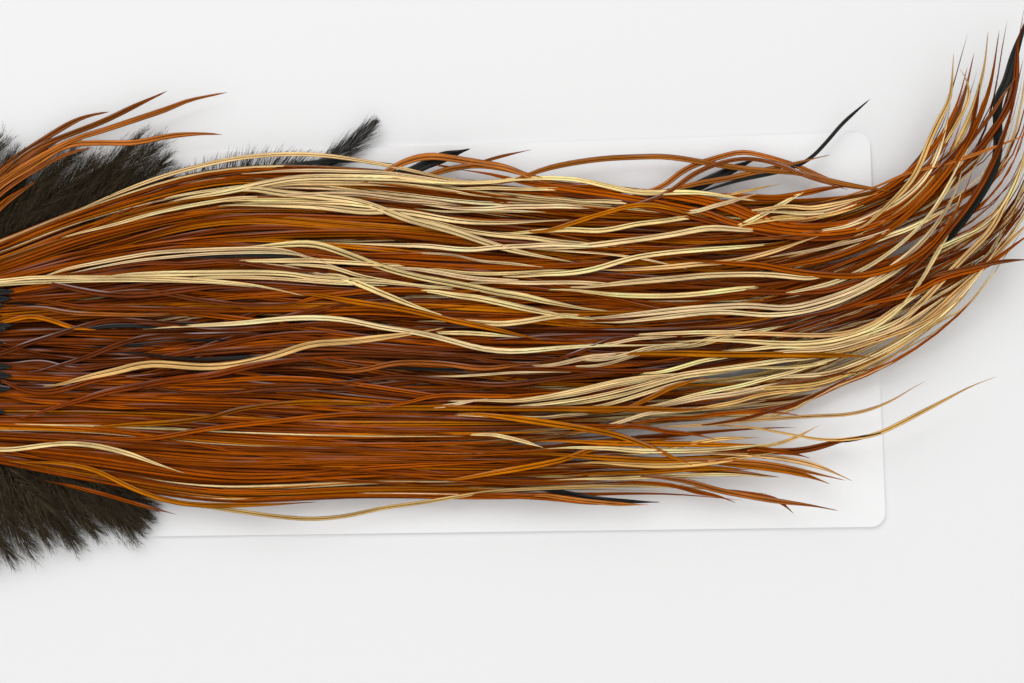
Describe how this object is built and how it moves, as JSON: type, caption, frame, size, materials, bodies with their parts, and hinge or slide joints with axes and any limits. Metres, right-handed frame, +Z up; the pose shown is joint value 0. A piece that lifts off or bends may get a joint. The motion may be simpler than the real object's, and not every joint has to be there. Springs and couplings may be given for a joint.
{
  "type": "rooster saddle feather patch on card",
  "caption": "Patch of skin with rows of long, narrow rust and cream saddle feathers that sweep into a fan, with dark down at the sides, lying on a white card.",
  "frame": {"origin": "centre of the card's underside, on the surface that the card lies on", "axes": "+X along the card from the skin towards the feather tips, +Z up out of the card's face"},
  "size_m": [0.402, 0.1597, 0.0182],
  "materials": {
    "card": "smooth stiff white card, matt",
    "skin": "dried pale skin, dull and slightly wrinkled",
    "rust_hackle": "glossy rust-orange feather with fine slanting barbs and a dark stem",
    "brown_hackle": "dark red-brown feather with a pale violet-grey sheen",
    "cream_hackle": "cream to pale gold feather with a thin dark stem line",
    "black_feather": "black feather with a green-blue sheen",
    "down": "loose dark brown down with soft lighter barb ends"
  },
  "bodies": {
    "root": {"backing_card": "card", "skin": "skin", "hackle_lock_row1_1": "rust_hackle", "hackle_lock_row1_2": "cream_hackle", "hackle_lock_row1_3": "rust_hackle", "hackle_lock_row1_4": "brown_hackle", "hackle_lock_row1_5": "rust_hackle", "hackle_lock_row1_6": "cream_hackle", "hackle_lock_row1_7": "brown_hackle", "hackle_lock_row1_8": "rust_hackle", "hackle_lock_row1_9": "cream_hackle", "hackle_lock_row1_10": "rust_hackle", "hackle_lock_row2_1": "rust_hackle", "hackle_lock_row2_2": "brown_hackle", "hackle_lock_row2_3": "rust_hackle", "hackle_lock_row2_4": "cream_hackle", "hackle_lock_row2_5": "brown_hackle", "hackle_lock_row2_6": "rust_hackle", "hackle_lock_row2_7": "cream_hackle", "hackle_lock_row2_8": "rust_hackle", "hackle_lock_row2_9": "brown_hackle", "hackle_lock_row2_10": "rust_hackle", "hackle_lock_row3_1": "rust_hackle", "hackle_lock_row3_2": "cream_hackle", "hackle_lock_row3_3": "brown_hackle", "hackle_lock_row3_4": "rust_hackle", "hackle_lock_row3_5": "cream_hackle", "hackle_lock_row3_6": "rust_hackle", "hackle_lock_row3_7": "brown_hackle", "hackle_lock_row3_8": "rust_hackle", "hackle_lock_row3_9": "cream_hackle", "hackle_lock_row4_1": "brown_hackle", "hackle_lock_row4_2": "rust_hackle", "hackle_lock_row4_3": "cream_hackle", "hackle_lock_row4_4": "rust_hackle", "hackle_lock_row4_5": "brown_hackle", "hackle_lock_row4_6": "rust_hackle", "hackle_lock_row4_7": "cream_hackle", "hackle_lock_row4_8": "brown_hackle", "back_feather_1": "rust_hackle", "back_feather_2": "brown_hackle", "back_feather_3": "rust_hackle", "back_feather_4": "brown_hackle", "back_feather_5": "rust_hackle", "black_fan_feather": "black_feather", "stray_rust_hackle_1": "rust_hackle", "stray_rust_hackle_2": "rust_hackle", "stray_rust_hackle_3": "rust_hackle", "black_thin_feather": "black_feather", "black_plume": "black_feather", "down_upper_1": "down", "down_upper_2": "down", "down_upper_3": "down", "down_upper_4": "down", "down_lower_1": "down", "down_lower_2": "down", "down_lower_3": "down", "down_lower_4": "down", "down_lower_5": "down"}
  },
  "joints": []
}
